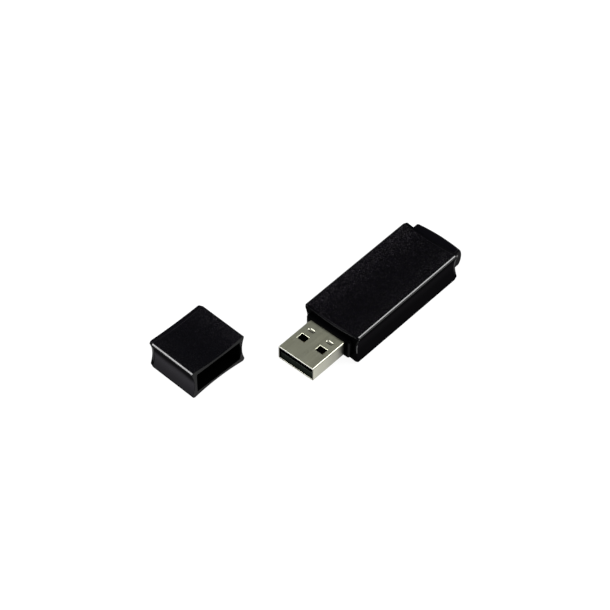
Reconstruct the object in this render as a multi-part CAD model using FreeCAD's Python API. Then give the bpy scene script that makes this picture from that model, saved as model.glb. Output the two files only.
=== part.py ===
import FreeCAD, Part
import math
import os

# Capped USB flash drive, in millimetres, laid out with its cap off and beside the plug.
# Frame: +X runs along the drive from plug to tail, +Z is up, the floor is z = 0 and the
# origin is under the middle of the whole laid-out set. The pieces are drawn in the drive's
# own frame, with x = 0 at the sleeve's front rim and y = 0 on its axis, and moved at the end.

# Hollow-sided section shared by the sleeve and the cap
WIDTH = 18.6
HEIGHT = 9.6
SIDE_DISH = 0.77
TOP_DISH = 0.77
RIDGE_R = 0.7
Z_MID = HEIGHT / 2

# Sleeve; each bevelled end is a list of (distance from the end, depth) stations, and the
# short outermost and innermost steps are the softened edges of the band between them
SLEEVE_L = 40.4
FRONT_BEVEL = [(0.0, 0.34), (0.08, 0.24), (0.32, 0.06), (0.52, 0.0)]
REAR_BEVEL = [(0.0, 0.25), (0.88, 0.03), (1.10, 0.0)]

# Core: two halves that fill the sleeve's bore and stand out at both ends
CORE_W = 14.8
CORE_H = 6.1
CORE_CORNER_R = 0.6
BORE_CORNER_R = 0.45
COLLAR_L = 1.5
COLLAR_EDGE_R = 0.5
TAIL_L = 4.4
TAIL_NOSE_A = 1.7
TAIL_PLAN_R = 52.0
TAIL_EDGE_R = 0.5
CAVITY_X0 = 2.6
CAVITY_X1 = 39.0
CAVITY_W = 13.2
CAVITY_H = 4.7
SNAP_X = 30.0
SNAP_L = 2.0
SNAP_H = 2.0
SNAP_DEPTH = 0.2
PIN_R = 0.4
PIN_L = 0.8
PIN_PLAY = 0.05

# Plug: the size of a standard type A plug
PLUG_W = 12.0
PLUG_H = 4.5
PLUG_OUT = 12.17
SHEET_T = 0.3
SHELL_CORNER_R = 0.4
SHELL_X1 = 3.6
SHELL_LEG_X1 = 5.8
SEAM_W = 0.08
WINDOW_Y = 3.12
WINDOW_W = 2.45
WINDOW_L = 2.0
WINDOW_FROM_TIP = 5.35
WINDOW_EDGE_R = 0.15
DIMPLE_FROM_TIP = 9.6
DIMPLE_R = 1.2
DIMPLE_DEPTH = 0.14
DIMPLE_HALF_L = 0.55
TIP_X = -COLLAR_L - PLUG_OUT

# Tongue and contacts
TONGUE_SETBACK = 0.4
TONGUE_W = 11.1
TONGUE_T = 1.95
TONGUE_NOSE = 0.3
TONGUE_BLOCK_X0 = -1.0
TONGUE_BLOCK_X1 = 3.4
CONTACT_W = 1.0
CONTACT_T = 0.25
CONTACT_PROUD = 0.05
CONTACT_X1 = 5.2
OUTER_CONTACT_Y = 3.5
INNER_CONTACT_Y = 1.0
OUTER_CONTACT_FROM_TIP = 1.5
INNER_CONTACT_FROM_TIP = 2.5

# Board, lying just under the middle plane so the contact tails rest on it
BOARD_X0 = 3.7
BOARD_X1 = 37.6
BOARD_W = 12.9
BOARD_NOSE_W = PLUG_W - 2 * SHEET_T
BOARD_NOSE_X1 = 6.3
BOARD_T = 0.8
BOARD_TOP = Z_MID + CONTACT_PROUD - CONTACT_T
BOARD_BOTTOM = BOARD_TOP - BOARD_T
RAIL_X0 = 7.0
RAIL_X1 = 37.0
RAIL_INNER_W = 12.3

# Memory chip, thin small-outline package with leads at its two ends
FLASH_X = 27.0
FLASH_BODY_L = 18.4
FLASH_BODY_W = 12.0
FLASH_T = 1.0
FLASH_SPAN = 20.0
FLASH_LEADS = 24
# Controller, quad flat package with leads on four sides
CTRL_X = 11.4
CTRL_BODY = 7.0
CTRL_T = 1.4
CTRL_SPAN = 9.0
CTRL_LEADS = 12
LEAD_PITCH = 0.5
LEAD_W = 0.22
LEAD_T = 0.14
LEAD_FOOT = 0.45
STANDOFF = 0.1

# Cap
CAP_L = 16.45
CAP_END_BEVEL = [(0.0, 0.38), (1.42, 0.03), (1.66, 0.0)]
CAP_MOUTH_BEVEL = [(0.0, 0.07), (0.08, 0.0)]
CAP_END_BOW = 0.54
CAP_HOLE_W = 15.3
CAP_HOLE_H = 6.5
CAP_HOLE_R = 0.25
CAP_END_WALL = 1.5
CAP_RIB_H = 0.12
CAP_RIB_L = 3.0
CAP_RIB_W = 0.8
CAP_X = -27.49
CAP_Y = 22.065
CAP_YAW = -92.25

OUT_DIR = "parts"


def box(x0, x1, y0, y1, z0, z1):
    """Box between two corners."""
    return Part.makeBox(x1 - x0, y1 - y0, z1 - z0, FreeCAD.Vector(x0, y0, z0))


def bar(x0, x1, width, height, radius):
    """Bar along X with rounded long edges, centred on the drive's axis."""
    a = width / 2
    b = height / 2
    k = radius * (1 - math.sqrt(0.5))
    points = []
    for sy, sz in ((1, 1), (-1, 1), (-1, -1), (1, -1)):
        side = (sy * a, sz * (b - radius))
        mid = (sy * (a - k), sz * (b - k))
        flat = (sy * (a - radius), sz * b)
        points.append((side, mid, flat) if sy * sz > 0 else (flat, mid, side))
    edges = []
    for i, corner in enumerate(points):
        v = [FreeCAD.Vector(x0, p[0], Z_MID + p[1]) for p in corner]
        nxt = points[(i + 1) % 4][0]
        edges.append(Part.Arc(v[0], v[1], v[2]).toShape())
        edges.append(Part.makeLine(v[2], FreeCAD.Vector(x0, nxt[0], Z_MID + nxt[1])))
    face = Part.Face(Part.Wire(edges))
    return face.extrude(FreeCAD.Vector(x1 - x0, 0, 0))


def section(x, inset):
    """Wire of the hollow-sided section at station x, drawn in by inset all round."""
    w = WIDTH / 2 - inset
    h = HEIGHT / 2 - inset
    r = RIDGE_R
    cy = w - r
    cz = h - r
    top_r = (cy * cy + TOP_DISH * TOP_DISH - 2 * r * TOP_DISH) / (2 * TOP_DISH)
    side_r = (cz * cz + SIDE_DISH * SIDE_DISH - 2 * r * SIDE_DISH) / (2 * SIDE_DISH)
    to_top = math.atan2(h - TOP_DISH + top_r - cz, -cy)
    to_side = math.atan2(-cz, w - SIDE_DISH + side_r - cy)
    half = (to_top + to_side) / 2

    def at(y, z):
        return FreeCAD.Vector(x, y, Z_MID + z)

    def on_corner(angle, sy, sz):
        return at(sy * (cy + r * math.cos(angle)), sz * (cz + r * math.sin(angle)))

    edges = []
    top = h - TOP_DISH
    side = w - SIDE_DISH
    edges.append(Part.Arc(on_corner(to_top, -1, 1), at(0, top), on_corner(to_top, 1, 1)))
    edges.append(Part.Arc(on_corner(to_top, 1, 1), on_corner(half, 1, 1), on_corner(to_side, 1, 1)))
    edges.append(Part.Arc(on_corner(to_side, 1, 1), at(side, 0), on_corner(to_side, 1, -1)))
    edges.append(Part.Arc(on_corner(to_side, 1, -1), on_corner(half, 1, -1), on_corner(to_top, 1, -1)))
    edges.append(Part.Arc(on_corner(to_top, 1, -1), at(0, -top), on_corner(to_top, -1, -1)))
    edges.append(Part.Arc(on_corner(to_top, -1, -1), on_corner(half, -1, -1), on_corner(to_side, -1, -1)))
    edges.append(Part.Arc(on_corner(to_side, -1, -1), at(-side, 0), on_corner(to_side, -1, 1)))
    edges.append(Part.Arc(on_corner(to_side, -1, 1), on_corner(half, -1, 1), on_corner(to_top, -1, 1)))
    return Part.Wire([e.toShape() for e in edges])


def bevelled_block(x0, x1, start_bevel, end_bevel):
    """Solid of the hollow-sided section with a bevelled band at each end."""
    stations = [(x0 + distance, depth) for distance, depth in start_bevel]
    stations += [(x1 - distance, depth) for distance, depth in reversed(end_bevel)]
    slices = []
    for (xa, depth_a), (xb, depth_b) in zip(stations, stations[1:]):
        slices.append(Part.makeLoft([section(xa, depth_a), section(xb, depth_b)], True, True))
    return slices[0].fuse(slices[1:]).removeSplitter()


def snap_bumps():
    """Low bumps on the core's sides; the sleeve's pockets are the same size."""
    y = CORE_W / 2
    z0 = Z_MID - SNAP_H / 2
    left = box(SNAP_X, SNAP_X + SNAP_L, y - 0.3, y + SNAP_DEPTH, z0, z0 + SNAP_H)
    right = box(SNAP_X, SNAP_X + SNAP_L, -y - SNAP_DEPTH, 0.3 - y, z0, z0 + SNAP_H)
    return [left, right]


def outer_sleeve():
    """Dished tube, open at both ends, with a straight rectangular bore."""
    block = bevelled_block(0, SLEEVE_L, FRONT_BEVEL, REAR_BEVEL)
    bore = bar(-1, SLEEVE_L + 1, CORE_W, CORE_H, BORE_CORNER_R)
    return block.cut([bore] + snap_bumps())


def fillet_at(shape, radius, wanted):
    """Round the edges whose middle point the test picks out."""
    picked = []
    for edge in shape.Edges:
        middle = edge.valueAt((edge.FirstParameter + edge.LastParameter) / 2)
        if wanted(middle):
            picked.append(edge)
    return shape.makeFillet(radius, picked)


def core_blank():
    """Outside of the core: square-shouldered collar in front, rounded tail behind."""
    end_x = SLEEVE_L + TAIL_L
    blank = bar(-COLLAR_L, end_x, CORE_W, CORE_H, CORE_CORNER_R)
    blank = fillet_at(blank, COLLAR_EDGE_R, lambda p: p.x < -COLLAR_L + 0.01)
    # The tail's nose: a half ellipse in side view, turned about a far vertical axis
    # so the end is also slightly bowed in plan.
    b = CORE_H / 2
    axis_x = end_x - TAIL_PLAN_R
    nose_x = end_x - TAIL_NOSE_A
    start = FreeCAD.Vector(nose_x, 0, Z_MID - b)
    stop = FreeCAD.Vector(nose_x, 0, Z_MID + b)
    centre = FreeCAD.Vector(nose_x, 0, Z_MID)
    ellipse = Part.Ellipse(stop, FreeCAD.Vector(end_x, 0, Z_MID), centre)
    u0 = ellipse.parameter(start)
    u1 = ellipse.parameter(stop)
    um = ellipse.parameter(FreeCAD.Vector(end_x, 0, Z_MID))
    if not min(u0, u1) < um < max(u0, u1):
        u0, u1 = max(u0, u1), min(u0, u1) + 2 * math.pi
    nose = Part.Edge(ellipse, min(u0, u1), max(u0, u1))
    root_x = axis_x + 5
    low = FreeCAD.Vector(root_x, 0, Z_MID - b)
    high = FreeCAD.Vector(root_x, 0, Z_MID + b)
    ends = [v.Point for v in nose.Vertexes]
    bottom_end = min(ends, key=lambda p: p.z)
    top_end = max(ends, key=lambda p: p.z)
    outline = [nose, Part.makeLine(top_end, high), Part.makeLine(high, low), Part.makeLine(low, bottom_end)]
    face = Part.Face(Part.Wire(Part.__sortEdges__(outline)))
    turn = 24
    face.rotate(FreeCAD.Vector(axis_x, 0, 0), FreeCAD.Vector(0, 0, 1), -turn / 2)
    nose_tool = face.revolve(FreeCAD.Vector(axis_x, 0, 0), FreeCAD.Vector(0, 0, 1), turn)
    front = blank.common(box(-50, SLEEVE_L - 8, -20, 20, -5, 20))
    back = blank.common(box(SLEEVE_L - 8, 60, -20, 20, -5, 20)).common(nose_tool)
    side = CORE_W / 2
    back = fillet_at(back, TAIL_EDGE_R, lambda p: abs(p.y) > side - 0.3 and p.x > nose_x + 0.2)
    return front.fuse(back).removeSplitter()


def core_cavity():
    """Room for the shell, the board and its parts."""
    plug_hole = bar(-COLLAR_L - 1, CAVITY_X0 + 0.5, PLUG_W, PLUG_H, SHELL_CORNER_R - 0.15)
    room = bar(CAVITY_X0, CAVITY_X1, CAVITY_W, CAVITY_H, 0.3)
    return plug_hole.fuse(room)


def rails(z0, z1):
    """Pairs of ledges inside the core that hold the board's long edges."""
    inner = RAIL_INNER_W / 2
    outer = CAVITY_W / 2 + 0.2
    out = []
    for sy in (1, -1):
        y0, y1 = sorted((sy * inner, sy * outer))
        out.append(box(RAIL_X0, RAIL_X1, y0, y1, z0, z1))
    return out


def pin_places():
    """Centres of the pins that line up the core's halves."""
    return [(0.9, 6.7), (0.9, -6.7), (41.0, 4.6), (41.0, -4.6)]


def core_halves():
    """Lower and upper halves, split at mid-height, pinned together and gripping the board."""
    blank = core_blank()
    hollow = blank.cut(core_cavity())
    lower = hollow.common(box(-50, 60, -20, 20, -5, Z_MID))
    upper = hollow.common(box(-50, 60, -20, 20, Z_MID, 20))
    edge = CAVITY_H / 2
    lower = lower.fuse(rails(Z_MID - edge - 0.1, BOARD_BOTTOM))
    gap = 0.02
    upper_rails = [r.common(box(0, 60, -20, 20, Z_MID, 20)) for r in rails(BOARD_TOP + gap, Z_MID + edge + 0.1)]
    upper = upper.fuse(upper_rails)
    for x, y in pin_places():
        lower = lower.fuse(Part.makeCylinder(PIN_R, PIN_L, FreeCAD.Vector(x, y, Z_MID)))
        socket = Part.makeCylinder(PIN_R + PIN_PLAY, PIN_L + 0.1, FreeCAD.Vector(x, y, Z_MID))
        upper = upper.cut(socket)
    bumps = [b.common(box(0, 60, -20, 20, -5, Z_MID)) for b in snap_bumps()]
    lower = lower.fuse(bumps).removeSplitter()
    caps = [b.common(box(0, 60, -20, 20, Z_MID, 20)) for b in snap_bumps()]
    upper = upper.fuse(caps).removeSplitter()
    return lower, upper


def plug_shell():
    """Folded sheet shell with windows, pressed dimples, a seam below and two rear legs."""
    outside = bar(TIP_X, SHELL_X1, PLUG_W, PLUG_H, SHELL_CORNER_R)
    inside = bar(
        TIP_X - 1, SHELL_X1 + 1, PLUG_W - 2 * SHEET_T, PLUG_H - 2 * SHEET_T, SHELL_CORNER_R - SHEET_T
    )
    shell = outside.cut(inside)
    cuts = []
    window_x = TIP_X + WINDOW_FROM_TIP
    for sy in (1, -1):
        y0 = sy * WINDOW_Y - WINDOW_W / 2
        cuts.append(box(window_x, window_x + WINDOW_L, y0, y0 + WINDOW_W, Z_MID - 5, Z_MID + 5))
    shell = shell.cut(cuts)
    window_x1 = window_x + WINDOW_L
    rim = PLUG_H / 2 - 0.01
    shell = fillet_at(
        shell,
        WINDOW_EDGE_R,
        lambda p: window_x - 0.01 < p.x < window_x1 + 0.01 and abs(p.z - Z_MID) > rim and abs(p.y) < 5,
    )
    for sz in (1, -1):
        z = Z_MID + sz * (PLUG_H / 2 - DIMPLE_DEPTH + DIMPLE_R)
        for sy in (1, -1):
            y0 = sy * WINDOW_Y - DIMPLE_HALF_L
            x = TIP_X + DIMPLE_FROM_TIP
            trough = Part.makeCylinder(
                DIMPLE_R, 2 * DIMPLE_HALF_L, FreeCAD.Vector(x, y0, z), FreeCAD.Vector(0, 1, 0)
            )
            ends = [
                Part.makeSphere(DIMPLE_R, FreeCAD.Vector(x, y0, z)),
                Part.makeSphere(DIMPLE_R, FreeCAD.Vector(x, y0 + 2 * DIMPLE_HALF_L, z)),
            ]
            shell = shell.cut(trough.fuse(ends))
    seam = box(TIP_X - 1, SHELL_X1 + 1, -SEAM_W / 2, SEAM_W / 2, Z_MID - 3, Z_MID - 1)
    shell = shell.cut(seam)
    legs = []
    for sy in (1, -1):
        y0, y1 = sorted((sy * PLUG_W / 2, sy * (PLUG_W / 2 - SHEET_T)))
        legs.append(box(SHELL_X1 - 0.2, SHELL_LEG_X1, y0, y1, BOARD_BOTTOM, BOARD_TOP + 0.7))
    return shell.fuse(legs).removeSplitter()


def contact_bars():
    """The four flat contacts, keyed by their node names."""
    z1 = Z_MID + CONTACT_PROUD
    places = {
        "contact_vbus": (-OUTER_CONTACT_Y, OUTER_CONTACT_FROM_TIP),
        "contact_d_minus": (-INNER_CONTACT_Y, INNER_CONTACT_FROM_TIP),
        "contact_d_plus": (INNER_CONTACT_Y, INNER_CONTACT_FROM_TIP),
        "contact_gnd": (OUTER_CONTACT_Y, OUTER_CONTACT_FROM_TIP),
    }
    out = {}
    for name, (y, from_tip) in places.items():
        y0 = y - CONTACT_W / 2
        out[name] = box(TIP_X + from_tip, CONTACT_X1, y0, y0 + CONTACT_W, z1 - CONTACT_T, z1)
    return out


def plug_tongue(contacts):
    """Insulator: a flat tongue low in the shell, with a block behind that fills it."""
    floor = Z_MID - PLUG_H / 2 + SHEET_T
    x0 = TIP_X + TONGUE_SETBACK
    half = TONGUE_W / 2
    tongue = box(x0, TONGUE_BLOCK_X0 + 0.5, -half, half, floor, floor + TONGUE_T)
    nose = fillet_at(
        tongue,
        TONGUE_NOSE,
        lambda p: p.x < x0 + 0.01 and p.z > floor + TONGUE_T - 0.01,
    )
    block = bar(
        TONGUE_BLOCK_X0, TONGUE_BLOCK_X1, PLUG_W - 2 * SHEET_T, PLUG_H - 2 * SHEET_T, SHELL_CORNER_R - SHEET_T
    )
    return nose.fuse(block).cut(list(contacts.values())).removeSplitter()


def circuit_board():
    """Board with a narrower nose that sits between the shell's legs."""
    wide = box(BOARD_NOSE_X1, BOARD_X1, -BOARD_W / 2, BOARD_W / 2, BOARD_BOTTOM, BOARD_TOP)
    nose = box(BOARD_X0, BOARD_NOSE_X1, -BOARD_NOSE_W / 2, BOARD_NOSE_W / 2, BOARD_BOTTOM, BOARD_TOP)
    return wide.fuse(nose).removeSplitter()


def gull_lead(reach, body_t):
    """One bent lead pointing along +X from the origin, foot down on z = 0."""
    mid = STANDOFF + body_t / 2
    knee = reach - LEAD_FOOT
    t = LEAD_T
    outline = [
        (0, mid - t / 2),
        (knee - t, mid - t / 2),
        (knee - t, 0),
        (reach, 0),
        (reach, t),
        (knee, t),
        (knee, mid + t / 2),
        (0, mid + t / 2),
    ]
    points = [FreeCAD.Vector(x, -LEAD_W / 2, z) for x, z in outline]
    face = Part.Face(Part.makePolygon(points + [points[0]]))
    return face.extrude(FreeCAD.Vector(0, LEAD_W, 0))


def lead_rows(x, y, body_half, reach, body_t, count, sides):
    """Rows of leads round a package; sides are the directions in degrees."""
    out = []
    for angle in sides:
        for i in range(count):
            lead = gull_lead(reach, body_t)
            lead.translate(FreeCAD.Vector(body_half, (i - (count - 1) / 2) * LEAD_PITCH, 0))
            lead.rotate(FreeCAD.Vector(0, 0, 0), FreeCAD.Vector(0, 0, 1), angle)
            lead.translate(FreeCAD.Vector(x, y, BOARD_TOP))
            out.append(lead)
    return Part.makeCompound(out)


def chip_body(x, length, width, thickness):
    """Moulded package with softened top edges and a pin-one dimple."""
    z0 = BOARD_TOP + STANDOFF
    body = box(x - length / 2, x + length / 2, -width / 2, width / 2, z0, z0 + thickness)
    body = fillet_at(body, 0.12, lambda p: p.z > z0 + thickness - 0.01)
    dimple = Part.makeCylinder(
        0.4, 0.3, FreeCAD.Vector(x - length / 2 + 1.1, -width / 2 + 1.1, z0 + thickness - 0.1)
    )
    return body.cut(dimple)


def hanging(x, y, length, width, depth):
    """Block under the board, centred on (x, y)."""
    return box(
        x - length / 2, x + length / 2, y - width / 2, y + width / 2, BOARD_BOTTOM - depth, BOARD_BOTTOM
    )


def small_parts():
    """Crystal, regulator, capacitors and resistors on the board's underside."""
    out = {}
    crystal_x = 11.0
    seat = hanging(crystal_x, -2.6, 3.2, 2.5, 0.25)
    can = hanging(crystal_x, -2.6, 2.9, 2.2, 0.9).cut(hanging(crystal_x, -2.6, 4.0, 4.0, 0.25))
    out["crystal_seat"] = seat
    out["crystal_can"] = fillet_at(can, 0.2, lambda p: p.z < BOARD_BOTTOM - 0.89)

    reg_x = 10.6
    reg_y = 3.0
    body = hanging(reg_x, reg_y, 2.9, 1.3, 1.1).cut(hanging(reg_x, reg_y, 4.0, 4.0, 0.1))
    out["regulator_body"] = fillet_at(body, 0.1, lambda p: p.z < BOARD_BOTTOM - 1.09)
    legs = []
    for dx, sy in ((-0.95, -1), (0.95, -1), (0, 1)):
        lead = gull_lead(0.6, 0.9)
        lead.translate(FreeCAD.Vector(0.65, 0, 0))
        lead.rotate(FreeCAD.Vector(0, 0, 0), FreeCAD.Vector(1, 0, 0), 180)
        lead.rotate(FreeCAD.Vector(0, 0, 0), FreeCAD.Vector(0, 0, 1), 90 * sy)
        lead.translate(FreeCAD.Vector(reg_x + dx, reg_y, BOARD_BOTTOM))
        legs.append(lead)
    out["regulator_leads"] = Part.makeCompound(legs)

    chip_l = 1.6
    chip_w = 0.8
    end_l = 0.3
    kinds = {
        "capacitor": (0.8, [(16.0, -4.2), (16.0, 0.0), (16.0, 4.2), (24.0, -3.6), (32.0, 3.6), (35.0, -3.6)]),
        "resistor": (0.45, [(19.0, -4.2), (19.0, 4.2), (21.5, 0.0), (27.0, 3.6), (29.5, -3.6)]),
    }
    for kind, (depth, places) in kinds.items():
        bodies = []
        ends = []
        for x, y in places:
            bodies.append(hanging(x, y, chip_l - 2 * end_l, chip_w, depth))
            for sx in (1, -1):
                ends.append(hanging(x + sx * (chip_l - end_l) / 2, y, end_l, chip_w, depth))
        out[kind + "_bodies"] = Part.makeCompound(bodies)
        out[kind + "_end_caps"] = Part.makeCompound(ends)
    return out


def wedge(points, direction):
    """Three-cornered prism."""
    vectors = [FreeCAD.Vector(p[0], p[1], p[2]) for p in points]
    face = Part.Face(Part.makePolygon(vectors + [vectors[0]]))
    return face.extrude(FreeCAD.Vector(direction[0], direction[1], direction[2]))


def solder_joints():
    """Fillets of solder behind the contact tails and inside the shell's legs."""
    out = []
    for y in (-OUTER_CONTACT_Y, -INNER_CONTACT_Y, INNER_CONTACT_Y, OUTER_CONTACT_Y):
        y0 = y - CONTACT_W / 2
        low = (CONTACT_X1, y0, BOARD_TOP)
        high = (CONTACT_X1, y0, BOARD_TOP + CONTACT_T)
        far = (CONTACT_X1 + 0.45, y0, BOARD_TOP)
        out.append(wedge([low, far, high], (0, CONTACT_W, 0)))
    for sy in (1, -1):
        y = sy * BOARD_NOSE_W / 2
        low = (BOARD_X0, y, BOARD_TOP)
        high = (BOARD_X0, y, BOARD_TOP + 0.5)
        far = (BOARD_X0, y - sy * 0.5, BOARD_TOP)
        out.append(wedge([low, far, high], (SHELL_LEG_X1 - BOARD_X0, 0, 0)))
    return Part.makeCompound(out)


def cap():
    """Closed-ended cap, drawn with its mouth towards +X, then laid beside the plug."""
    half = CAP_L / 2
    block = bevelled_block(-half, half, CAP_END_BEVEL, CAP_MOUTH_BEVEL)
    # The closed end is bowed in plan, so its edges lie back at both ridges
    side = WIDTH / 2
    bow_r = (side * side + CAP_END_BOW * CAP_END_BOW) / (2 * CAP_END_BOW)
    bow = Part.makeCylinder(bow_r, HEIGHT + 2, FreeCAD.Vector(bow_r - half, 0, -1))
    block = block.common(bow)
    hole = bar(-half + CAP_END_WALL, half + 1, CAP_HOLE_W, CAP_HOLE_H, CAP_HOLE_R)
    body = block.cut(hole)
    ribs = []
    for sy in (1, -1):
        wall = sy * CAP_HOLE_W / 2
        y0, y1 = sorted((wall - sy * CAP_RIB_H, wall + sy * 0.1))
        for sz in (1, -1):
            z0 = Z_MID + sz * 1.6 - CAP_RIB_W / 2
            ribs.append(box(half - 1.0 - CAP_RIB_L, half - 1.0, y0, y1, z0, z0 + CAP_RIB_W))
    body = body.fuse(ribs).removeSplitter()
    body.rotate(FreeCAD.Vector(0, 0, 0), FreeCAD.Vector(0, 0, 1), CAP_YAW)
    body.translate(FreeCAD.Vector(CAP_X, CAP_Y, 0))
    return body


def all_nodes():
    """Every piece in the drive's frame, keyed by node name."""
    nodes = {"outer_sleeve": outer_sleeve()}
    nodes["core_lower_half"], nodes["core_upper_half"] = core_halves()
    nodes["plug_shell"] = plug_shell()
    contacts = contact_bars()
    nodes.update(contacts)
    nodes["plug_tongue"] = plug_tongue(contacts)
    nodes["circuit_board"] = circuit_board()
    nodes["memory_chip_body"] = chip_body(FLASH_X, FLASH_BODY_L, FLASH_BODY_W, FLASH_T)
    flash_reach = (FLASH_SPAN - FLASH_BODY_L) / 2
    nodes["memory_chip_leads"] = lead_rows(
        FLASH_X, 0, FLASH_BODY_L / 2, flash_reach, FLASH_T, FLASH_LEADS, (0, 180)
    )
    nodes["controller_body"] = chip_body(CTRL_X, CTRL_BODY, CTRL_BODY, CTRL_T)
    ctrl_reach = (CTRL_SPAN - CTRL_BODY) / 2
    nodes["controller_leads"] = lead_rows(
        CTRL_X, 0, CTRL_BODY / 2, ctrl_reach, CTRL_T, CTRL_LEADS, (0, 90, 180, 270)
    )
    nodes.update(small_parts())
    nodes["solder_joints"] = solder_joints()
    nodes["cap"] = cap()
    return nodes


def main():
    os.makedirs(OUT_DIR, exist_ok=True)
    nodes = all_nodes()
    whole = FreeCAD.BoundBox()
    for shape in nodes.values():
        whole.add(shape.optimalBoundingBox(False, False))
    shift = FreeCAD.Vector(-whole.Center.x, -whole.Center.y, 0)
    for name, shape in nodes.items():
        shape.translate(shift)
        shape.exportStep(os.path.join(OUT_DIR, name + ".step"))
    print("shift", shift)
    print("size", whole.XLength, whole.YLength, whole.ZLength)


main()
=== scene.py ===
"""USB flash drive with its cap beside it: looks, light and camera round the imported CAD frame."""

import math

import bpy
from mathutils import Matrix, Vector


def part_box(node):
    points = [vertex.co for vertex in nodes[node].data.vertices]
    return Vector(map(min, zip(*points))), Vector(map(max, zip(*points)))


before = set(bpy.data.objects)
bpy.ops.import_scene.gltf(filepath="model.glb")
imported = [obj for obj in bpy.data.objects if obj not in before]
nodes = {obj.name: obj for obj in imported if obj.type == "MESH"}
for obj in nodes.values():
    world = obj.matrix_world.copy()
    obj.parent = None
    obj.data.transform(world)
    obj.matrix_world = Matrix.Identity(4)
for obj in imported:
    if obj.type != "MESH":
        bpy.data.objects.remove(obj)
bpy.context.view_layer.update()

MM = 0.001

# Camera, in the frame's own metres and in degrees
CAMERA_AIM = Vector((-0.0023884, -0.0001177, 0.0070230))
CAMERA_AZIMUTH = -48.156
CAMERA_ELEVATION = 47.801
CAMERA_ROLL = 0.122
CAMERA_DISTANCE = 0.642411
CAMERA_LENS_MM = 145.366
SENSOR_MM = 36.0

# Room: the sky fades with height; each softbox spans the arc between two directions
FLOOR_RADIUS = 6.0
FLOOR_GLOW = 0.94
SKY_HEIGHTS = (0.02, 0.40)
SKY_STRENGTHS = (1.0, 0.08)
SOFTBOX_DISTANCE = 0.6
SOFTBOX_RADIANCE = 10.0
RIGHT_ARC = ((0.5, -0.055, 0.851), (0.5, -0.66, 0.56))
RIGHT_WIDTH = 0.32
LEFT_ARC = ((-0.05, 0.448, 0.880), (-0.89, 0.448, 0.09))
LEFT_WIDTH = 0.28

# Shells: the angle the cap lies away from square, how far from the middle and how deep below
# the top or above the floor a face of the hole lies, and how high the foot is
CAP_TURN = math.radians(2.25)
HOLE_REACH = 7.8 * MM
HOLE_DEPTH = 1.4 * MM
FOOT_HEIGHT = 0.95 * MM

# How far a face of each bevelled strip leans towards its shell's end
MOUTH_BEVEL = (0.65, 0.72)
FRONT_CREASE = (0.27, 0.36)
REAR_CREASE = (0.08, 0.19)

# Plug: how thick its sheet is, how deep a face lies inside or in a rounded corner, and how
# far behind the tip the windows, the dimples and the end of the sides' painted shade lie
SHEET = 0.31 * MM
INSIDE_DEPTH = 0.25 * MM
CORNER_DEPTH = 0.4 * MM
WINDOW_ZONE = (3.0 * MM, 8.0 * MM)
DIMPLE_ZONE = (8.0 * MM, 11.5 * MM)
PAINTED_SHADE_END = 12.7 * MM

# Edges rounded in Blender; their slot is the corner steel, a darker painted shade, on the plug, and the
# nose, a painted highlight, on the tongue
EDGE_WIDTH = 0.06 * MM
EDGE_SLOT = 2
SHARP_EDGE = math.radians(40)
SMOOTH_EDGE = math.radians(17)


# ---------------------------------------------------------------- node helpers


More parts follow.
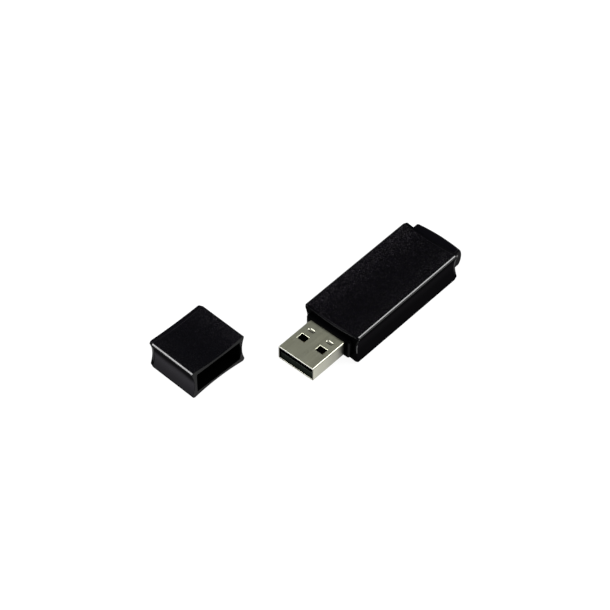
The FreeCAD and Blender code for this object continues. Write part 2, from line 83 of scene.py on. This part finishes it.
class Shader:
    """A node tree being built, with short calls for the nodes used here."""

    def __init__(self, name):
        self.material = bpy.data.materials.new(name)
        self.material.use_nodes = True
        self.tree = self.material.node_tree
        self.tree.nodes.clear()
        self.out = self.tree.nodes.new("ShaderNodeOutputMaterial")
        self.bsdf = self.tree.nodes.new("ShaderNodeBsdfPrincipled")
        self.tree.links.new(self.bsdf.outputs["BSDF"], self.out.inputs["Surface"])
        self.coords = self.tree.nodes.new("ShaderNodeTexCoord")

    def put(self, socket, value):
        """Links an output to an input, or sets a plain value on it."""
        if isinstance(value, bpy.types.NodeSocket):
            self.tree.links.new(value, socket)
        else:
            socket.default_value = value

    def set(self, **values):
        """Sets the shader's own sockets; underscores stand for spaces."""
        for key, value in values.items():
            self.put(self.bsdf.inputs[key.replace("_", " ")], value)

    def place(self, scale=(1, 1, 1)):
        """Object coordinates, which are the frame's metres, stretched by scale."""
        node = self.tree.nodes.new("ShaderNodeMapping")
        node.inputs["Scale"].default_value = scale
        self.put(node.inputs["Vector"], self.coords.outputs["Object"])
        return node.outputs["Vector"]

    def noise(self, scale, detail=2.0, roughness=0.5, vector=None):
        node = self.tree.nodes.new("ShaderNodeTexNoise")
        node.inputs["Scale"].default_value = scale
        node.inputs["Detail"].default_value = detail
        node.inputs["Roughness"].default_value = roughness
        self.put(node.inputs["Vector"], vector or self.coords.outputs["Object"])
        return node.outputs["Fac"]

    def cells(self, scale, vector=None):
        node = self.tree.nodes.new("ShaderNodeTexVoronoi")
        node.inputs["Scale"].default_value = scale
        self.put(node.inputs["Vector"], vector or self.coords.outputs["Object"])
        return node

    def ramp(self, value, low, high, low_out=0.0, high_out=1.0):
        """Maps low..high to low_out..high_out, clamped."""
        node = self.tree.nodes.new("ShaderNodeMapRange")
        self.put(node.inputs["Value"], value)
        node.inputs["From Min"].default_value = low
        node.inputs["From Max"].default_value = high
        node.inputs["To Min"].default_value = low_out
        node.inputs["To Max"].default_value = high_out
        return node.outputs["Result"]

    def math(self, operation, a, b=0.0):
        node = self.tree.nodes.new("ShaderNodeMath")
        node.operation = operation
        self.put(node.inputs[0], a)
        self.put(node.inputs[1], b)
        return node.outputs[0]

    def mix(self, factor, a, b):
        """Mixes two colours."""
        node = self.tree.nodes.new("ShaderNodeMix")
        node.data_type = "RGBA"
        self.put(node.inputs["Factor"], factor)
        self.put(node.inputs["A"], a if isinstance(a, bpy.types.NodeSocket) else (*a, 1.0))
        self.put(node.inputs["B"], b if isinstance(b, bpy.types.NodeSocket) else (*b, 1.0))
        return node.outputs["Result"]

    def position(self, name):
        """One component of the place in the frame, in metres."""
        node = self.tree.nodes.new("ShaderNodeSeparateXYZ")
        self.put(node.inputs[0], self.coords.outputs["Object"])
        return node.outputs[name]

    def bands(self, value, stops):
        """Colour that runs smoothly through a list of (place, colour) stops."""
        node = self.tree.nodes.new("ShaderNodeValToRGB")
        node.color_ramp.interpolation = "EASE"
        elements = node.color_ramp.elements
        while len(elements) < len(stops):
            elements.new(0.5)
        for element, (place, colour) in zip(elements, stops):
            element.position = place
            element.color = (*colour, 1.0)
        self.put(node.inputs["Fac"], value)
        return node.outputs["Color"]

    def facets(self, scale, tilt):
        """Surface normal tipped a different way in each small cell."""
        cell = self.cells(scale).outputs["Color"]
        steps = (("SUBTRACT", (0.5, 0.5, 0.5)), ("MULTIPLY", (2 * tilt, 2 * tilt, 2 * tilt)))
        lean = cell
        for operation, amount in steps:
            node = self.tree.nodes.new("ShaderNodeVectorMath")
            node.operation = operation
            self.put(node.inputs[0], lean)
            node.inputs[1].default_value = amount
            lean = node.outputs[0]
        geometry = self.tree.nodes.new("ShaderNodeNewGeometry")
        total = self.tree.nodes.new("ShaderNodeVectorMath")
        total.operation = "ADD"
        self.put(total.inputs[0], geometry.outputs["Normal"])
        self.put(total.inputs[1], lean)
        unit = self.tree.nodes.new("ShaderNodeVectorMath")
        unit.operation = "NORMALIZE"
        self.put(unit.inputs[0], total.outputs[0])
        return unit.outputs[0]

    def bump(self, height, distance, strength=1.0, normal=None):
        node = self.tree.nodes.new("ShaderNodeBump")
        node.inputs["Strength"].default_value = strength
        node.inputs["Distance"].default_value = distance
        self.put(node.inputs["Height"], height)
        if normal is not None:
            self.put(node.inputs["Normal"], normal)
        return node.outputs["Normal"]

    def flow(self):
        """Faint marks drawn out along the drive, as moulding leaves them."""
        return self.noise(220.0, detail=4.0, vector=self.place((0.3, 1.0, 1.0)))

    def roll(self):
        """Fine lines drawn out along the drive, as rolling leaves them on sheet."""
        return self.noise(1400.0, detail=3.0, vector=self.place((0.06, 1.0, 1.0)))

    def orange_peel(self):
        """Very slight waviness of a smooth moulded face."""
        return self.bump(self.noise(1800.0, detail=2.0), 0.00001, 0.25)


# ---------------------------------------------------------------- materials


def eroded_plastic(name, low, high, tilt, roughness):
    """Black plastic with a spark-eroded grain: small facets, tipped by tilt, that glint."""
    s = Shader(name)
    drift = s.noise(160.0, detail=3.0)
    tint = s.ramp(s.noise(900.0, detail=3.0), 0.35, 0.7)
    fine = s.bump(s.noise(5200.0, detail=2.0), 0.00003, 0.5, s.facets(7600.0, tilt))
    s.set(
        Base_Color=s.mix(tint, low, high),
        Roughness=s.ramp(drift, 0.3, 0.7, roughness, roughness + 0.05),
        Specular_IOR_Level=0.06,
        Specular_Tint=(0.97, 0.87, 1.0, 1.0),
        Normal=fine,
    )
    return s.material


def smooth_plastic(name, colour, roughness, specular):
    """Moulded plastic with faint flow marks and a very slight orange peel."""
    s = Shader(name)
    flow = s.flow()
    darker = tuple(c * 0.75 for c in colour)
    s.set(
        Base_Color=s.mix(s.ramp(flow, 0.3, 0.7), colour, darker),
        Roughness=s.ramp(flow, 0.3, 0.7, roughness - 0.04, roughness + 0.05),
        Specular_IOR_Level=specular,
        Normal=s.orange_peel(),
    )
    return s.material


def side_plastic(name, stops, roughness, specular):
    """Smooth plastic with painted light and shade: its colour runs through the stops from the floor up
    to the ridge.
    """
    s = Shader(name)
    flow = s.flow()
    wander = s.math("MULTIPLY", flow, 0.0012)
    rise = s.ramp(s.math("ADD", s.position("Z"), wander), 0.0005, 0.0103)
    s.set(
        Base_Color=s.bands(rise, stops),
        Roughness=s.ramp(flow, 0.3, 0.7, roughness - 0.04, roughness + 0.05),
        Specular_IOR_Level=specular,
        Normal=s.orange_peel(),
    )
    return s.material


def plated_steel(name, colour, roughness):
    """Satin nickel plate over rolled sheet: faint roll marks, fine grain, slight staining."""
    s = Shader(name)
    roll = s.roll()
    grain = s.noise(6000.0, detail=2.0, roughness=0.6)
    stain = s.noise(300.0, detail=4.0, roughness=0.6)
    warm = tuple(c * f for c, f in zip(colour, (0.95, 0.94, 0.91)))
    marks = s.ramp(roll, 0.3, 0.7, roughness - 0.025, roughness + 0.025)
    s.set(
        Base_Color=s.mix(s.ramp(stain, 0.4, 0.75), colour, warm),
        Metallic=1.0,
        Roughness=s.math("ADD", marks, s.ramp(grain, 0.3, 0.7, -0.015, 0.015)),
        Normal=s.bump(s.math("ADD", roll, s.math("MULTIPLY", grain, 0.6)), 0.000006, 0.15),
    )
    return s.material


def gold_flash(name):
    s = Shader(name)
    wipe = s.noise(1500.0, detail=3.0, vector=s.place((0.06, 1.0, 1.0)))
    s.set(
        Base_Color=s.mix(s.ramp(wipe, 0.35, 0.7), (0.83, 0.62, 0.27), (0.72, 0.5, 0.2)),
        Metallic=1.0,
        Roughness=s.ramp(wipe, 0.3, 0.7, 0.18, 0.32),
        Normal=s.bump(wipe, 0.00001, 0.3),
    )
    return s.material


def bright_tin(name):
    s = Shader(name)
    frost = s.noise(4200.0, detail=3.0)
    s.set(
        Base_Color=s.mix(s.ramp(frost, 0.35, 0.7), (0.7, 0.71, 0.73), (0.55, 0.56, 0.58)),
        Metallic=1.0,
        Roughness=s.ramp(frost, 0.3, 0.7, 0.25, 0.42),
        Normal=s.bump(frost, 0.00002, 0.35),
    )
    return s.material


def solder_mask(name):
    """Green board: glass weave showing through, with copper runs as a lighter green."""
    s = Shader(name)
    weave_x = s.noise(3000.0, detail=1.0, vector=s.place((1.0, 0.1, 1.0)))
    weave_y = s.noise(3000.0, detail=1.0, vector=s.place((0.1, 1.0, 1.0)))
    weave = s.math("MULTIPLY", weave_x, weave_y)
    runs = s.cells(700.0, s.place((0.35, 1.0, 0.2)))
    runs.feature = "DISTANCE_TO_EDGE"
    copper = s.ramp(runs.outputs["Distance"], 0.04, 0.09, 1.0, 0.0)
    green = s.mix(s.ramp(weave, 0.15, 0.4), (0.006, 0.09, 0.035), (0.01, 0.13, 0.05))
    s.set(
        Base_Color=s.mix(copper, green, (0.03, 0.24, 0.09)),
        Roughness=s.ramp(weave, 0.1, 0.4, 0.22, 0.34),
        Specular_IOR_Level=0.5,
        Normal=s.bump(copper, 0.00003, 0.5),
    )
    return s.material


def fired_ceramic(name, colour, roughness):
    s = Shader(name)
    speck = s.noise(3800.0, detail=3.0)
    darker = tuple(c * 0.7 for c in colour)
    s.set(
        Base_Color=s.mix(s.ramp(speck, 0.35, 0.7), colour, darker),
        Roughness=s.ramp(speck, 0.3, 0.7, roughness - 0.06, roughness + 0.08),
        Normal=s.bump(speck, 0.00002, 0.3),
    )
    return s.material


def paint_faces(node, finishes, kind_of, *facts):
    """Gives a node one slot per finish, and each face the finish that kind_of names for it."""
    mesh = nodes[node].data
    mesh.materials.clear()
    order = list(finishes)
    for name in order:
        mesh.materials.append(finishes[name])
    for face in mesh.polygons:
        face.material_index = order.index(kind_of(face, *facts))


def paint_insides():
    """Gives the contacts, the board and everything on it their materials."""
    can_steel = plated_steel("can_steel", (0.66, 0.66, 0.66), 0.25)
    gold = gold_flash("gold_flash")
    tin = bright_tin("bright_tin")
    board = solder_mask("solder_mask")
    epoxy = fired_ceramic("chip_epoxy", (0.018, 0.018, 0.020), 0.55)
    seat = fired_ceramic("crystal_ceramic", (0.30, 0.27, 0.22), 0.6)
    tan = fired_ceramic("capacitor_ceramic", (0.40, 0.25, 0.13), 0.5)
    glaze = fired_ceramic("resistor_glaze", (0.02, 0.02, 0.024), 0.3)
    chosen = {
        "contact_vbus": gold,
        "contact_d_minus": gold,
        "contact_d_plus": gold,
        "contact_gnd": gold,
        "circuit_board": board,
        "memory_chip_body": epoxy,
        "controller_body": epoxy,
        "regulator_body": epoxy,
        "memory_chip_leads": tin,
        "controller_leads": tin,
        "regulator_leads": tin,
        "capacitor_end_caps": tin,
        "resistor_end_caps": tin,
        "solder_joints": tin,
        "crystal_seat": seat,
        "crystal_can": can_steel,
        "capacitor_bodies": tan,
        "resistor_bodies": glaze,
    }
    for node, material in chosen.items():
        nodes[node].data.materials.clear()
        nodes[node].data.materials.append(material)


def core_plastic_with_painted_shade(name, border):
    """Black plastic, painted deeper black as shade in front of a border that lies inside the sleeve."""
    s = Shader(name)
    flow = s.flow()
    tail = s.mix(s.ramp(flow, 0.3, 0.7), (0.0020, 0.0019, 0.0027), (0.0015, 0.0014, 0.0020))
    # painted shade: in front of the border the colour falls to a deeper black
    behind = s.ramp(s.position("X"), border - MM, border + MM)
    s.set(
        Base_Color=s.mix(behind, (0.0004, 0.0004, 0.0006), tail),
        Roughness=s.ramp(flow, 0.3, 0.7, 0.28, 0.37),
        Specular_IOR_Level=0.012,
        Normal=s.orange_peel(),
    )
    return s.material


def core_finish_of(face, corners, border):
    """Names the kind of a core face; one that reaches behind the border belongs to the tail."""
    if max(corners[index].co.x for index in face.vertices) > border:
        return "tail"
    upright_edge = abs(face.normal.x) > 0.25 and abs(face.normal.y) > 0.25
    return "collar_edge" if upright_edge else "collar"


def paint_core():
    """The collar in front is more matt, and painted deeper black than the tail as shade in the sleeve's
    mouth.
    """
    low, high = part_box("outer_sleeve")
    sleeve_middle = 0.5 * (low.x + high.x)
    finishes = {
        "tail": core_plastic_with_painted_shade("core_black_plastic", sleeve_middle),
        # painted shade: the collar and its upright edges are darker than the tail's own black
        "collar": smooth_plastic("core_collar_painted_shade", (0.0004, 0.0004, 0.0006), 0.45, 0.004),
        "collar_edge": smooth_plastic("core_collar_edge_painted_shade", (0.0010, 0.0010, 0.0014), 0.30, 0.045),
    }
    for node in ("core_lower_half", "core_upper_half"):
        corners = nodes[node].data.vertices
        paint_faces(node, finishes, core_finish_of, corners, sleeve_middle)


def tongue_finish_of(face):
    """Tells the tongue's front from the chamfer round it and from its long faces."""
    if face.normal.x < -0.88:
        return "front"
    return "nose" if face.normal.x < -0.75 else "top"


def paint_tongue():
    """The tongue's front is grey-green, its chamfer painted lighter as a highlight and its long faces
    painted black as shade.
    """
    finishes = {
        "front": smooth_plastic("insulator_plastic", (0.0046, 0.0066, 0.0050), 0.42, 0.01),
        # painted shade on the long faces, painted highlight on the chamfer
        "top": smooth_plastic("tongue_top_painted_shade", (0.0006, 0.0007, 0.0006), 0.5, 0.004),
        "nose": smooth_plastic("tongue_nose_painted_highlight", (0.018, 0.022, 0.019), 0.4, 0.1),
    }
    paint_faces("plug_tongue", finishes, tongue_finish_of)


def side_steel_painted_shade(name, tip):
    """Duller steel, with painted shade that grades it darker from the plug's tip towards the collar."""
    s = Shader(name)
    roll = s.roll()
    along = s.math("ADD", s.position("X"), s.math("MULTIPLY", roll, 0.001))
    # painted shade: light at the tip, near black at the collar
    shades = ((0.0, 0.47), (0.35, 0.40), (0.70, 0.30), (1.0, 0.03))
    stops = [(place, (shade, shade, 0.83 * shade)) for place, shade in shades]
    s.set(
        Base_Color=s.bands(s.ramp(along, tip, tip + PAINTED_SHADE_END), stops),
        Metallic=1.0,
        Roughness=s.ramp(roll, 0.3, 0.7, 0.30, 0.36),
        Normal=s.bump(roll, 0.000006, 0.15),
    )
    return s.material


def plug_finish_of(face, low, high):
    """Names the kind of a plug face: flat, side, corner, rim, shaded or dimple."""
    centre = face.center
    forward = -face.normal.x
    upright = abs(face.normal.z)
    from_tip = centre.x - low.x
    from_side = min(centre.y - low.y, high.y - centre.y)
    from_flat = min(centre.z - low.z, high.z - centre.z)
    near_side = from_side < CORNER_DEPTH
    if from_tip < 0.01 * MM and forward > 0.9:
        return "rim" if high.z - centre.z < SHEET else "shaded"
    if from_side > INSIDE_DEPTH and from_flat > INSIDE_DEPTH:
        return "shaded"
    if near_side and abs(face.normal.y) > 0.95:
        return "side"
    if near_side and upright < 0.97 and abs(forward) < 0.3:
        return "corner"
    if from_flat > CORNER_DEPTH:
        return "flat"
    pressed_in = DIMPLE_ZONE[0] < from_tip < DIMPLE_ZONE[1] and upright < 0.995
    window_wall = WINDOW_ZONE[0] < from_tip < WINDOW_ZONE[1] and upright < 0.6
    if pressed_in:
        return "dimple"
    if window_wall:
        return "shaded"
    return "corner" if 0.1 < upright < 0.85 else "flat"


def paint_plug():
    """One steel per kind of face: the top front rim is a painted highlight, the corners and dimples a
    darker steel as painted shade, and the inside, window walls, side rims and lower lip are painted dark
    as shade.
    """
    low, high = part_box("plug_shell")
    finishes = {
        "flat": plated_steel("plated_steel", (0.56, 0.57, 0.44), 0.34),
        "side": side_steel_painted_shade("plated_steel_side_painted_shade", low.x),
        # painted shade: corners, window fillets and rounded edges get a darker steel that dims their
        # highlights
        "corner": plated_steel("plated_steel_corner_painted_shade", (0.26, 0.26, 0.215), 0.24),
        # painted highlight: the top front rim is near-white steel
        "rim": plated_steel("plated_steel_rim_painted_highlight", (0.92, 0.92, 0.90), 0.25),
        # painted shade: inside, window walls, side rims and lower lip are near-black steel
        "shaded": plated_steel("sheared_steel_shaded", (0.05, 0.05, 0.045), 0.35),
        # painted shade: the dimples get a darker steel that dims their highlights
        "dimple": plated_steel("plated_steel_dimple_painted_shade", (0.25, 0.25, 0.21), 0.30),
    }
    paint_faces("plug_shell", finishes, plug_finish_of, low, high)


def shell_finish_of(face, low, high, side_axis, turn, polish_from):
    """Names the kind of a shell face: grained, ridge, side, crease, band, end, inside or under."""
    normal = Matrix.Rotation(turn, 3, "Z") @ face.normal
    height = face.center.z
    middle = 0.5 * (low + high)
    reach = abs(face.center[side_axis] - middle[side_axis])
    outward = abs(normal[side_axis])
    endward = abs(normal[1 - side_axis])
    on_side = outward > abs(normal.z)
    on_top = height > middle.z
    if reach < HOLE_REACH and low.z + HOLE_DEPTH < height < high.z - HOLE_DEPTH:
        return "inside"
    if endward > 0.95:
        return "end"
    if outward > endward and outward > 0.5 and height < low.z + FOOT_HEIGHT:
        return "under"
    if MOUTH_BEVEL[0] < endward < MOUTH_BEVEL[1]:
        return "end" if on_side else "top_band"
    if endward > MOUTH_BEVEL[1] and not on_side:
        return "top_crease"
    if FRONT_CREASE[0] < endward < FRONT_CREASE[1]:
        return "side_crease" if on_side else "top_crease"
    if REAR_CREASE[0] < endward < REAR_CREASE[1]:
        return "rear_side_crease" if on_side else "top_crease"
    if endward > REAR_CREASE[1]:
        return "side_band" if on_side else "top_band"
    if abs(normal.z) > 0.98 or (on_top and normal.z > polish_from):
        return "grained"
    return "ridge" if on_top and normal.z > 0.33 else "side"


def paint_shell(node, side_axis, turn, polish_from, finishes):
    """Paints a shell that lies turned; upper faces tipped below polish_from are its ridges."""
    low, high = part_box(node)
    paint_faces(node, finishes, shell_finish_of, low, high, side_axis, turn, polish_from)


def painted_light_steps(low, middle, high, crest):
    """Stops of painted light and shade for a moulded side: its colour at the foot, at its lightest and
    under the ridge.
    """
    shades = ((0.0, low), (crest - 0.33, 1.15 * low), (crest, middle), (crest + 0.22, high))
    return [(place, (shade, 0.96 * shade, 1.08 * shade)) for place, shade in shades]


def paint_shells():
    """Both shells are grained on top, polished on the ridges and matt below; their sides, creases,
    bands, rims, insides and feet carry painted light and shade.
    """
    black = (0.0015, 0.0015, 0.0018)
    # painted shade: insides, end faces and some creases get a deeper black than the shells' own
    dark = smooth_plastic("matt_black_painted_shade", (0.0006, 0.0006, 0.0007), 0.5, 0.004)
    # painted shade: the foot next to the floor is a darker black without gloss
    under = smooth_plastic("matt_black_foot_painted_shade", (0.0010, 0.0010, 0.0011), 0.6, 0.0)
    shared = {"inside": dark, "under": under}
    # painted light and shade: the cap's rim is lighter low down and near black at the top
    rim, lip = (0.0034, 0.0028, 0.0032), (0.0005, 0.0005, 0.0007)
    rim_painted_light_stops = [(0.0, rim), (0.60, rim), (0.77, lip), (1.0, lip)]
    coarse = ((0.0009, 0.0009, 0.0011), (0.0015, 0.0013, 0.0022), 0.25, 0.19)
    fine = ((0.0011, 0.0011, 0.0015), (0.0014, 0.0014, 0.0021), 0.18, 0.25)
    sleeve = {
        "grained": eroded_plastic("sleeve_eroded_plastic", *coarse),
        "ridge": smooth_plastic("sleeve_polished_ridge", black, 0.20, 0.62),
        # painted light and shade: the side is lighter in the middle and darker under the ridge
        "side": side_plastic("sleeve_side_painted_light_and_shade", painted_light_steps(0.0027, 0.0056, 0.0028, 0.66), 0.34, 0.0),
        # painted highlight: the creases are a lighter black that draws a light line
        "top_crease": smooth_plastic("sleeve_top_crease_painted_highlight", (0.0030, 0.0028, 0.0036), 0.30, 0.05),
        "side_crease": smooth_plastic("sleeve_side_crease_painted_highlight", (0.0050, 0.0048, 0.0056), 0.34, 1.0),
        "rear_side_crease": dark,
        "top_band": smooth_plastic("sleeve_top_band", (0.0010, 0.0010, 0.0014), 0.30, 0.01),
        "side_band": smooth_plastic("sleeve_side_band", black, 0.30, 0.01),
        "end": dark,
    }
    cap = {
        "grained": eroded_plastic("cap_eroded_plastic", *fine),
        "ridge": smooth_plastic("cap_polished_ridge", black, 0.36, 0.95),
        # painted light and shade: the cap's side is lighter than the sleeve's, brightest low down and
        # dark under the ridge
        "side": side_plastic("cap_side_painted_light_and_shade", painted_light_steps(0.0095, 0.0185, 0.0036, 0.50), 0.34, 0.0),
        # painted highlight: the top crease is a lighter black that draws a light line
        "top_crease": smooth_plastic("cap_top_crease_painted_highlight", (0.0062, 0.0058, 0.0068), 0.30, 0.02),
        "side_crease": dark,
        "rear_side_crease": dark,
        "top_band": smooth_plastic("cap_top_band", (0.0021, 0.0020, 0.0027), 0.25, 0.012),
        # painted light: the side band is a lighter black, like the cap's side
        "side_band": smooth_plastic("cap_side_band_painted_light", (0.0080, 0.0078, 0.0090), 0.30, 0.01),
        "end": side_plastic("cap_rim_painted_light_and_shade", rim_painted_light_stops, 0.30, 0.06),
    }
    paint_shell("outer_sleeve", 1, 0.0, 0.97, {**shared, **sleeve})
    paint_shell("cap", 0, CAP_TURN, 0.88, {**shared, **cap})


def shade_by_angle(limit):
    """Node group that keeps faces smooth across gentle edges and creased across the others."""
    group = bpy.data.node_groups.new("shade_by_angle", "GeometryNodeTree")
    group.interface.new_socket("Geometry", in_out="INPUT", socket_type="NodeSocketGeometry")
    group.interface.new_socket("Geometry", in_out="OUTPUT", socket_type="NodeSocketGeometry")
    start = group.nodes.new("NodeGroupInput")
    end = group.nodes.new("NodeGroupOutput")
    clean = group.nodes.new("GeometryNodeRemoveAttribute")
    clean.inputs["Name"].default_value = "custom_normal"
    edges = group.nodes.new("GeometryNodeSetShadeSmooth")
    edges.domain = "EDGE"
    faces = group.nodes.new("GeometryNodeSetShadeSmooth")
    faces.domain = "FACE"
    angle = group.nodes.new("GeometryNodeInputMeshEdgeAngle")
    gentle = group.nodes.new("FunctionNodeCompare")
    gentle.data_type = "FLOAT"
    gentle.operation = "LESS_THAN"
    gentle.inputs["B"].default_value = limit
    link = group.links.new
    link(start.outputs[0], clean.inputs["Geometry"])
    link(clean.outputs[0], faces.inputs["Geometry"])
    link(faces.outputs[0], edges.inputs["Geometry"])
    link(angle.outputs["Unsigned Angle"], gentle.inputs["A"])
    link(gentle.outputs["Result"], edges.inputs["Shade Smooth"])
    link(edges.outputs[0], end.inputs[0])
    return group


def soften_edges():
    """Rounds the plug's sheared edges so they catch light; the CAD meshes stay as they are."""
    group = shade_by_angle(SMOOTH_EDGE)
    for node in ("plug_shell", "plug_tongue"):
        weld = nodes[node].modifiers.new("joined_faces", "WELD")
        weld.merge_threshold = 0.001 * MM
        bevel = nodes[node].modifiers.new("soft_edges", "BEVEL")
        bevel.width = EDGE_WIDTH
        bevel.segments = 6
        bevel.limit_method = "ANGLE"
        bevel.angle_limit = SHARP_EDGE
        bevel.material = EDGE_SLOT
        crease = nodes[node].modifiers.new("creases", "NODES")
        crease.node_group = group
        even = nodes[node].modifiers.new("even_shading", "WEIGHTED_NORMAL")
        even.keep_sharp = True


# ---------------------------------------------------------------- room, light, camera


def add_floor():
    mesh = bpy.data.meshes.new("floor")
    r = FLOOR_RADIUS
    mesh.from_pydata([(-r, -r, 0), (r, -r, 0), (r, r, 0), (-r, r, 0)], [], [(0, 1, 2, 3)])
    floor = bpy.data.objects.new("floor", mesh)
    bpy.context.scene.collection.objects.link(floor)
    s = Shader("pale_floor")
    s.set(
        Base_Color=(0.1, 0.1, 0.1, 1.0),
        Roughness=0.9,
        Specular_IOR_Level=0.0,
        Emission_Color=(1.0, 1.0, 1.0, 1.0),
        Emission_Strength=FLOOR_GLOW,
    )
    mesh.materials.append(s.material)


def add_world():
    """A sky that is pale near the horizon and dimmer overhead."""
    world = bpy.data.worlds.new("studio")
    bpy.context.scene.world = world
    world.use_nodes = True
    tree = world.node_tree
    back = tree.nodes["Background"]
    coords = tree.nodes.new("ShaderNodeTexCoord")
    parts = tree.nodes.new("ShaderNodeSeparateXYZ")
    tree.links.new(coords.outputs["Generated"], parts.inputs[0])
    fade = tree.nodes.new("ShaderNodeMapRange")
    tree.links.new(parts.outputs["Z"], fade.inputs["Value"])
    fade.inputs["From Min"].default_value = SKY_HEIGHTS[0]
    fade.inputs["From Max"].default_value = SKY_HEIGHTS[1]
    fade.inputs["To Min"].default_value = SKY_STRENGTHS[0]
    fade.inputs["To Max"].default_value = SKY_STRENGTHS[1]
    tree.links.new(fade.outputs["Result"], back.inputs["Strength"])
    back.inputs["Color"].default_value = (1.0, 1.0, 1.0, 1.0)


def add_softbox(name, arc, width):
    """Long area light facing the middle of the set, spanning the arc between two directions."""
    first, last = (Vector(end).normalized() for end in arc)
    away = (first + last).normalized()
    along = (last - first).normalized()
    length = 2.0 * SOFTBOX_DISTANCE * math.tan(0.5 * first.angle(last))
    light = bpy.data.lights.new(name, "AREA")
    light.shape = "RECTANGLE"
    light.size = width
    light.size_y = length
    light.energy = SOFTBOX_RADIANCE * math.pi * width * length
    lamp = bpy.data.objects.new(name, light)
    bpy.context.scene.collection.objects.link(lamp)
    turn = Matrix((along.cross(away), along, away)).transposed()
    lamp.matrix_world = Matrix.Translation(away * SOFTBOX_DISTANCE) @ turn.to_4x4()
    lamp.visible_camera = False


def add_camera():
    azimuth = math.radians(CAMERA_AZIMUTH)
    elevation = math.radians(CAMERA_ELEVATION)
    back = Vector(
        (
            math.sin(azimuth) * math.cos(elevation),
            -math.cos(azimuth) * math.cos(elevation),
            math.sin(elevation),
        )
    )
    right = Vector((math.cos(azimuth), math.sin(azimuth), 0.0))
    up = back.cross(right)
    turn = Matrix((right, up, back)).transposed()
    turn = turn @ Matrix.Rotation(math.radians(CAMERA_ROLL), 3, "Z")
    lens = bpy.data.cameras.new("camera")
    lens.lens = CAMERA_LENS_MM
    lens.sensor_width = SENSOR_MM
    lens.clip_start = 0.01
    lens.clip_end = 50.0
    camera = bpy.data.objects.new("camera", lens)
    camera.matrix_world = Matrix.Translation(CAMERA_AIM + back * CAMERA_DISTANCE) @ turn.to_4x4()
    bpy.context.scene.collection.objects.link(camera)
    bpy.context.scene.camera = camera


add_camera()
add_floor()
add_world()
add_softbox("softbox_right", RIGHT_ARC, RIGHT_WIDTH)
add_softbox("softbox_left", LEFT_ARC, LEFT_WIDTH)
paint_insides()
paint_core()
paint_tongue()
paint_plug()
paint_shells()
soften_edges()
bpy.context.scene.view_settings.view_transform = "Standard"
bpy.context.scene.view_settings.look = "None"

bpy.context.view_layer.update()
